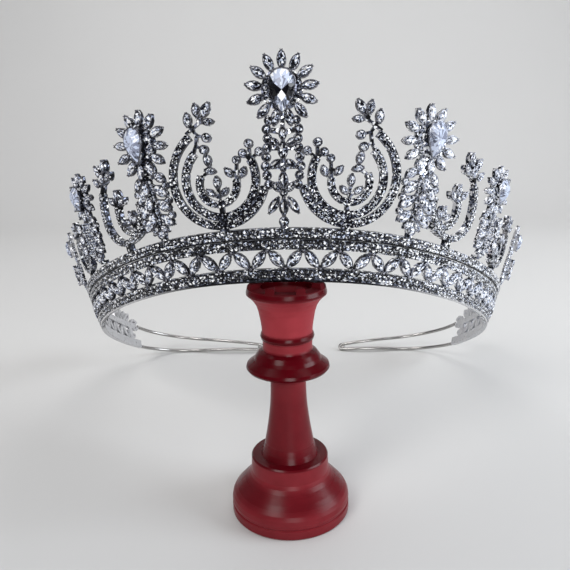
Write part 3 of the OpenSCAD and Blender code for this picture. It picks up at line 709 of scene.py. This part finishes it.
CENTRE_LEAVES = [(0, 5.1, 0, 4, 2), (0, 11.4, 0, 4, 2), (0, 18.2, 0, 4, 2.2), (0, 22, 0, 2.9, 1.7)]
CENTRE_PAIRS = [(2.3, 5.5, -32, 4.4, 1.8), (1.8, 15, -55, 3, 1.6)]
CENTRE_ROUNDS = [(0, 1.7, 1.25), (0, 8.4, 1), (0, 13.9, 0.8)]
CENTRE_CHAIN = [
    (3.4, 10.3, 1.15), (3.8, 12.4, 1.15), (4.1, 14.5, 1.15), (3.9, 16.6, 1.15),
    (3.6, 18.7, 1.15), (3.5, 20.8, 1.15), (3.7, 22.9, 1.15), (3.2, 24.9, 1.1),
]
CENTRE_SPRIGS = [(2, 20, 60, 2.4, 1.5), (1.6, 9.7, 40, 2.6, 1.5)]
SIDE_LEAVES = [(0, 6, 0, 3.4, 1.8), (0, 9.8, 0, 3.4, 1.8), (0, 13.6, 0, 3.4, 1.8)]
SIDE_PAIRS = [(3, 4.9, -48, 4.4, 2.2), (3.1, 8.6, -48, 4.8, 2.3), (3.1, 12.3, -48, 4.8, 2.3)]
SIDE_ROUNDS = [(0, 1.8, 1.25)]
SIDE_CHAIN = [(4.7, 5.8, 0.9), (4.8, 9.5, 0.9), (5, 13.2, 0.9)]
SIDE_SPRIGS = [(3.7, 15.6, -42, 3.4, 1.8), (1.5, 3, -40, 2.4, 1.4)]
# height of the flower's middle, its outer radius, the pear's length and width, the petals, the pear's drop
CENTRE_FLOWER, SIDE_FLOWER = (31.9, 8.6, 9.6, 6, 13, 0.6), (24.7, 8.7, 8.8, 5.4, 12, 0)
PETAL_LEN, PETAL_WIDE, PETAL_IN = 4, 1.9, 2.15
PEAR_POINTS = 24
# plate's back, its front and the pear stone's seat, in front of the crest's face
CENTRE_DEPTH, SIDE_DEPTH, SIDE_2_DEPTH = (1.1, 2.1, 3.0), (-0.9, 0.1, 2.0), (0.7, 1.7, 3.4)
# small stones between the pear stone and the petals: angles from the top, and radius
HALO = [
    (54, 3.9), (70, 3.9), (86, 3.9), (102, 3.9), (118, 3.9), (134, 3.9), (150, 3.9), (112, 3), (134, 3),
]
# courses of stones on a ridge: distance between two, and between the stones of one
COURSE, COURSE_PITCH = 0.85, 0.88


def across(rows):
    return [(-r[0], r[1], -r[2], *r[3:]) for r in rows]


def petals(middle, outer, count):
    """Rows of leaves round the flower's middle; an odd number has one that points straight up."""
    m = outer - PETAL_IN
    rows = []
    for i in range(count):
        a = 360 * (i + 0.5 * (count + 1) % 1) / count
        x = m * math.sin(math.radians(a))
        y = middle + m * math.cos(math.radians(a))
        rows.append((x, y, a, PETAL_LEN, PETAL_WIDE))
    return rows


def pear_spark(n, centre):
    """Painted reflection shades of a pear stone's facets: the centre one has black wings and a white kite
    below them.
    """
    t = 360 * (np.arange(n) + 0.5) / n
    girdle = np.full(n, 0.3)
    if not centre:
        bounds = ((0.36, 0.8), (0.3, 0.85), (0.4, 0.8), (0.42, 0.7))
        return np.concatenate([girdle] + [rng.uniform(low, high, n) for low, high in bounds])
    wing = ((t > 60) & (t < 114)) | ((t > 246) & (t < 300))
    kite = (t > 122) & (t < 238)
    dome = (t < 60) | (t > 300)
    table = np.where(wing, 0.03, np.where(kite, 0.95, np.where(dome, rng.uniform(0.38, 0.7, n), 0.3)))
    crown = np.where(dome, rng.uniform(0.25, 0.85, n), rng.uniform(0.15, 0.75, n))
    crown = np.where(wing, 0.05, crown)
    star = np.where(wing, rng.uniform(0, 0.2, n), rng.uniform(0.15, 1, n))
    ring = np.where(wing, 0.03, rng.uniform(0.25, 0.9, n))
    return np.concatenate([girdle, star, crown, ring, table])


crest_metal, crest_rounds = Pile(), Pile(1.5)
# name, side, arc length, size, lean, depths, and the height of the ridge under the spine
COLUMNS = [("centre", 1, 0.0, 1.0, 0.0, CENTRE_DEPTH, 0.0)]
for side, word in ((-1, "left"), (1, "right")):
    COLUMNS += [
        (word + "_1", side, 28.6, 1.0, 1.8, SIDE_DEPTH, 1.6),
        (word + "_2", side, 57.3, 0.81, 0.0, SIDE_2_DEPTH, 3.8),
        (word + "_3", side, 98.5, 0.66, 0.0, SIDE_DEPTH, 2.6),
    ]


def ridge_stones(pile, base, spine, foot, ridge):
    """Courses of small round stones up both walls of the ridge under a column's spine."""
    courses = int((ridge - 0.2) / COURSE)
    for y in np.arange(spine[0][1] - 1.4, spine[-1][1] + 1.6, COURSE_PITCH):
        wall = 0.6
        for _, mid, _, length, wide in spine:
            length, wide = length + 0.3, wide + 0.2
            r = (length * length + wide * wide) / (4 * wide)
            if abs(y - mid) < length / 2:
                wall = max(wall, wide / 2 - r + math.sqrt(r * r - (y - mid) ** 2))
        for c in range(courses):
            for way in (-1, 1):
                here = base @ move(way * wall, y, foot + 0.45 + COURSE * c) @ turn("y", way * 90)
                pile.add(ROUND, here @ size(0.42, 0.42, 0.26))


for word, side, s, k, column_lean, depth, ridge in COLUMNS:
    centre = word == "centre"
    base = on_crest(s, side, k, column_lean)
    middle, outer, pear_long, pear_wide, count, drop = CENTRE_FLOWER if centre else SIDE_FLOWER
    pairs = CENTRE_PAIRS if centre else SIDE_PAIRS
    sprigs = CENTRE_SPRIGS if centre else SIDE_SPRIGS
    spine = CENTRE_LEAVES if centre else SIDE_LEAVES
    chain = CENTRE_CHAIN if centre else SIDE_CHAIN
    rounds = (CENTRE_ROUNDS if centre else SIDE_ROUNDS) + chain + [(-x, y, r) for x, y, r in chain]
    front = depth[1] + GAP
    # painted shade: the centre column's stones get much darker facet shades than the side columns'
    pile = Pile(4.0 if centre else 0.8)
    crest_rounds.tone = 3.6 if centre else 1.0
    for x, y, lean, length, wide in spine:
        leaf_set(pile, crest_metal, base @ at(x, y, front + ridge, lean), length, wide)
    for x, y, lean, length, wide in pairs + across(pairs):
        leaf_set(pile, crest_metal, base @ at(x, y, front, lean), length, wide)
    pile.emit("leaf_crystals_" + word, STONES, "crystal", stands_for=["leaf_stones_" + word])
    if ridge:
        ridge_stones(crest_rounds, base, spine, depth[1], ridge)
    pile = Pile(1.5 if centre else 0.95)
    for x, y, lean, length, wide in petals(middle, outer, count):
        leaf_set(pile, crest_metal, base @ at(x, y, front, lean), length, wide)
    pile.emit("petal_crystals_" + word, STONES, "crystal", stands_for=["petals_" + word])
    for x, y, lean, length, wide in sprigs + across(sprigs):
        seat = base @ at(x, y, depth[1] + 0.05, lean)
        leaf_set(crest_rounds, crest_metal, seat, length, wide, 0.6, 0.05)
    for x, y, r in rounds:
        round_set(crest_rounds, crest_metal, base @ move(x, y, depth[1]), r)
    for a, reach in HALO:
        for way in (-1, 1):
            x = way * reach * math.sin(math.radians(a))
            y = middle + reach * math.cos(math.radians(a))
            crest_rounds.add(ROUND, base @ move(x, y, depth[1]) @ size(0.5))
    outline = pear_outline(pear_long, pear_wide, PEAR_POINTS)
    seat = base @ move(0, middle - drop, depth[2] + GAP)
    pile = Pile()
    pile.add(cut(outline, 1.7, 0.55, 0.12), seat, pear_spark(PEAR_POINTS, centre))
    pile.emit("pear_crystal_" + word, PEARS, "pear_crystal", stands_for=["pear_" + word])
    crest_metal.add(rim(outline * 1.07, outline * 1.01, 0.4), seat @ move(0, 0, -0.1))
    for a in (30, 90, 140, 180, 220, 270, 330):
        x, y = outline[round(a * PEAR_POINTS / 360)]
        crest_metal.add(BEAD, seat @ move(x, y, 0.5) @ size(0.26, 0.26, 0.4))


# Scrolls: arcs are centre, radius, width, first and last angle

LARGE_ARCS = [
    ((0, 13.3), 11.9, 2.0, 197, 419), ((-0.4, 12.5), 9.0, 2.0, 154, 410), ((0.3, 11.4), 4.8, 1.8, 170, 390),
]
SMALL_ARCS = [
    ((0, 10.5), 7.9, 1.7, 266, 362), ((-8.1, 10.5), 16, 1.7, 0, 28),
    ((0, 22.6), 20, 1.7, 246.5, 266), ((-4.5, 10), 5.4, 1.7, 165, 390),
]
LARGE_LEAVES = [
    (6.1, 27.4, 0, 3.2, 1.7), (3.6, 29.3, 5, 3.2, 1.7), (1.3, 29.1, -35, 3.8, 1.9),
    (0.9, 26.3, 90, 2.6, 1.5), (2.2, 17.4, 10, 3, 1.6), (1.8, 14.8, 75, 2.6, 1.5),
    (-6.4, 13.5, -30, 2.6, 1.5), (-2.9, 13.9, 35, 2.6, 1.5), (0.4, 11.9, 0, 2.8, 1.5),
    (-1.2, 9.4, -45, 2.4, 1.3), (2.3, 9.6, 45, 2.4, 1.3),
]
LARGE_ROUNDS = [
    (1.8, 22.7, 1.15), (2.8, 20, 1.15), (-11, 17.8, 1.1), (-8.6, 20, 1.1), (-6.9, 17.9, 1.1),
    (-5.1, 16.6, 1),
]
SMALL_LEAVES = [
    (1.3, 24.4, -20, 3.2, 1.6), (4.7, 24, 15, 3.2, 1.6), (0.4, 21.3, -55, 2.8, 1.5),
    (6.6, 21.2, 35, 2.8, 1.5), (3.3, 21.6, -8, 2.8, 1.5), (-1.2, 15.4, -5, 2.8, 1.5),
    (1.6, 14.6, 35, 2.6, 1.4), (-3, 13.5, -60, 2.4, 1.4), (-5.4, 8.7, 0, 2.6, 1.5),
    (-7, 7.5, -45, 2, 1.3), (-3.8, 7.5, 45, 2, 1.3),
]
# arc length, size, arcs, leaves and rounds of each scroll on a side
SCROLLS = [
    (13.0, 1.0, LARGE_ARCS, LARGE_LEAVES, LARGE_ROUNDS),
    (42.5, 1.0, SMALL_ARCS, SMALL_LEAVES, []),
    (76.0, 0.7, SMALL_ARCS, SMALL_LEAVES, []),
]
scroll_stones, scroll_metal, scroll_leaves = Pile(1.5), Pile(), Pile(1.3)


def arc_rows(base, arc):
    """Two rows of stones along an arc, larger ones on a wide arc."""
    (cx, cy), radius, wide, a_0, a_1 = arc
    hub = base @ move(cx, cy, LATTICE_FRONT)
    off, r = (0.47, 0.48) if wide > 1.75 else (0.4, 0.41)
    for reach in (radius - off, radius + off):
        n = max(2, int(math.radians(a_1 - a_0) * reach / (2 * r)))
        step = (a_1 - a_0) / n
        pave_row(scroll_stones, scroll_metal, [
            hub @ turn("z", a_0 + (i + 0.5) * step) @ move(reach, 0) @ turn("z", 90) for i in range(n)
        ], r)


for side in (-1, 1):
    for s, k, arcs, leaves, rounds in SCROLLS:
        base = on_crest(s, side, k)
        for arc in arcs:
            arc_rows(base, arc)
        for x, y, lean, length, wide in leaves:
            seat = base @ at(x, y, LATTICE_FRONT + 0.05, lean)
            leaf_set(scroll_leaves, scroll_metal, seat, length, wide, 0.65, 0.05)
        for x, y, r in rounds:
            round_set(scroll_leaves, scroll_metal, base @ move(x, y, LATTICE_FRONT), r)

crest_rounds.emit("round_crystals_columns", STONES, "crystal")
crest_metal.emit("claws_columns", CLAW, "silver_metal", True)
scroll_stones.emit("pave_scrolls", PAVE, "crystal")
scroll_leaves.emit("sprig_crystals", STONES, "crystal")
scroll_metal.emit("claws_scrolls", CLAW, "silver_metal", True)


# Hair loops

WIRE_END_Z = WIRE_R + WIRE_GAP
WIRE_START_Z = WIRE_START * math.cos(math.radians(END_FLARE))


def lower_wire(s, side):
    return np.array([*(plan(s, side) - WIRE_R * outward(heading(s, side))), WIRE_R])


def upper_wire(s, side):
    last = REAR_END + TAILS[side][0]
    t = (last - s) / (last - BAND_END)
    z = WIRE_END_Z + (WIRE_START_Z - WIRE_END_Z) * t
    off = z * math.tan(math.radians(END_FLARE)) * t - WIRE_R
    return np.array([*(plan(s, side) + off * outward(heading(s, side))), z])


def loop_line(side):
    start, steps, bend = BAND_END + 0.3, 90, 14
    last = REAR_END + TAILS[side][0]
    span = last - start
    p, rise = lower_wire(last, side), upper_wire(last, side)[2] - lower_wire(last, side)[2]
    a = math.radians(heading(last, side))
    way = np.array([math.cos(a), math.sin(a), 0])
    line = [lower_wire(start + span * i / steps, side) for i in range(steps)]
    for i in range(bend + 1):
        b = math.pi * i / bend - math.pi / 2
        line.append(p + way * rise / 2 * math.cos(b) + np.array([0, 0, rise / 2 * (1 + math.sin(b))]))
    line += [upper_wire(last - span * i / steps, side) for i in range(1, steps + 1)]
    return np.array(line)


def tube(line, r, sides, end):
    """A round wire along a line, whose sides are laid out across the loop's direction at its tip."""
    ahead = np.gradient(line, axis=0)
    ahead /= np.linalg.norm(ahead, axis=1)[:, None]
    a = math.radians(end)
    u = np.cross(ahead, np.array([math.sin(a), -math.cos(a), 0.3]))
    u /= np.linalg.norm(u, axis=1)[:, None]
    w = np.cross(ahead, u)
    t = (np.arange(sides) * 2 * math.pi / sides)[None, :, None]
    pts = (line[:, None] + r * (np.cos(t) * u[:, None] + np.sin(t) * w[:, None])).reshape(-1, 3)
    tri = []
    for i in range(len(line) - 1):
        for k in range(sides):
            m = (k + 1) % sides
            a0, b0, c0, d0 = i * sides + k, i * sides + m, (i + 1) * sides + m, (i + 1) * sides + k
            tri += [(a0, b0, c0), (a0, c0, d0)]
    last = (len(line) - 1) * sides
    for k in range(1, sides - 1):
        tri += [(0, k + 1, k), (last, last + k, last + k + 1)]
    return pts, np.array(tri), np.zeros(len(tri), int)


for side, word in ((-1, "left"), (1, "right")):
    pile = Pile()
    tip = REAR_END + TAILS[side][0]
    pile.add(tube(loop_line(side), WIRE_R, 18, heading(tip, side)), LAID @ FLIP[side])
    # solder that fills the U end
    middle = (lower_wire(tip, side) + upper_wire(tip, side)) / 2
    pile.add(BEAD, LAID @ FLIP[side] @ move(*middle) @ turn("z", heading(tip, side)) @ size(1.5, 0.6, 0.8))
    pile.emit("wire_loop_" + word, WIRE, "wire_metal", True, ["hair_loop_" + word])


# Floor, light and camera, in metres

# front and back of the level floor, the curve up to the wall, the wall's top and half the width
FLOOR_FRONT, FLOOR_BACK, FLOOR_CURVE, WALL_TOP, HALF_WIDE = -0.9, 0.5, 0.35, 1.6, 1.6
CURVE_STEPS = 16


def sweep():
    """Pale floor that curves up into a back wall."""
    profile = [(FLOOR_FRONT, 0.0), (FLOOR_BACK, 0.0)]
    for i in range(1, CURVE_STEPS + 1):
        a = math.pi / 2 * i / CURVE_STEPS
        profile.append((FLOOR_BACK + FLOOR_CURVE * math.sin(a), FLOOR_CURVE * (1 - math.cos(a))))
    profile.append((FLOOR_BACK + FLOOR_CURVE, WALL_TOP))
    pts = [(x, y, z) for y, z in profile for x in (-HALF_WIDE, HALF_WIDE)]
    faces = [(2 * i, 2 * i + 1, 2 * i + 3, 2 * i + 2) for i in range(len(profile) - 1)]
    mesh = bpy.data.meshes.new("floor")
    mesh.from_pydata(pts, [], faces)
    for f in mesh.polygons:
        f.use_smooth = True
    obj = bpy.data.objects.new("floor", mesh)
    bpy.context.scene.collection.objects.link(obj)
    mat, nodes, links, bsdf = new_material("pale_paper")
    cloud = noise(nodes, links, 3.0, 2.0)
    white = clouded(nodes, links, cloud, (0.70, 0.695, 0.685), (0.73, 0.725, 0.715))
    grey = clouded(nodes, links, cloud, (0.57, 0.568, 0.565), (0.595, 0.592, 0.588))
    # painted shade: the paper is painted a little greyer in front, where the lamps light it most
    back = remap(nodes, links, axes(nodes, links, object_place(nodes))["Y"], -0.03, 0.12)
    links.new(mixed(nodes, links, back, grey, white), bsdf.inputs["Base Color"])
    bsdf.inputs["Roughness"].default_value = 0.75
    obj.data.materials.append(mat)


sweep()

# a room that is dark in front of the tiara and pale behind it
world = bpy.data.worlds.new("studio")
bpy.context.scene.world = world
world.use_nodes = True
wn, wl = world.node_tree.nodes, world.node_tree.links
direction = wn.new("ShaderNodeTexCoord").outputs["Generated"]
ahead = remap(wn, wl, axes(wn, wl, direction)["Y"], -1.0, 1.0)
tones = [(0.0, (0.10, 0.10, 0.12)), (0.42, (0.16, 0.16, 0.18)), (0.75, (0.80, 0.80, 0.84))]
room = ramp(wn, wl, ahead, tones)
wl.new(room, wn["Background"].inputs["Color"])
wn["Background"].inputs["Strength"].default_value = 0.5


def soft_light(name, place, aim, width, height, power, colour=(1, 1, 1)):
    light = bpy.data.lights.new(name, "AREA")
    light.shape = "RECTANGLE"
    light.size, light.size_y = width, height
    light.energy = power
    light.color = colour
    obj = bpy.data.objects.new(name, light)
    bpy.context.scene.collection.objects.link(obj)
    obj.location = place
    obj.rotation_euler = (Vector(aim) - Vector(place)).to_track_quat("-Z", "Y").to_euler()


AIM = (0, 0.03, 0.06)
soft_light("key", (-0.40, -0.55, 0.60), AIM, 0.35, 0.35, 3.6, (1.0, 0.99, 0.97))
soft_light("right", (0.65, -0.10, 0.28), AIM, 0.45, 0.35, 4.4, (0.90, 0.95, 1.0))
soft_light("front", (0.10, -0.75, 0.16), AIM, 0.30, 0.20, 2.0)
soft_light("top", (0.0, 0.4, 1.0), (0, 0.7, 0.3), 1.1, 0.9, 4.6)

# the photograph's focal length and width in pixels, the sensor's width in millimetres
F_PX, PHOTO_PX, SENSOR = 617.0, 570, 36.0
PITCH, ROLL = math.radians(14.43), math.radians(1.2)
CAMERA_AT = (0.0048, -0.1509, 0.1018)
# the camera looks about two degrees to the left
right = np.array([0.9994, 0.034, 0])
level = np.array([-0.034, 0.9994, 0])
upright = np.array([0, 0, 1.0])
look = math.cos(PITCH) * level - math.sin(PITCH) * upright
top = math.sin(PITCH) * level + math.cos(PITCH) * upright
cam_x = math.cos(ROLL) * right - math.sin(ROLL) * top
cam_y = math.sin(ROLL) * right + math.cos(ROLL) * top
camera = bpy.data.objects.new("camera", bpy.data.cameras.new("camera"))
bpy.context.scene.collection.objects.link(camera)
m = Matrix.Identity(4)
for i in range(3):
    m[i][0], m[i][1], m[i][2], m[i][3] = cam_x[i], cam_y[i], -look[i], CAMERA_AT[i]
camera.matrix_world = m
camera.data.sensor_width = SENSOR
camera.data.lens = F_PX / PHOTO_PX * SENSOR
camera.data.clip_start = 0.01
bpy.context.scene.camera = camera
bpy.context.scene.view_settings.view_transform = "Standard"
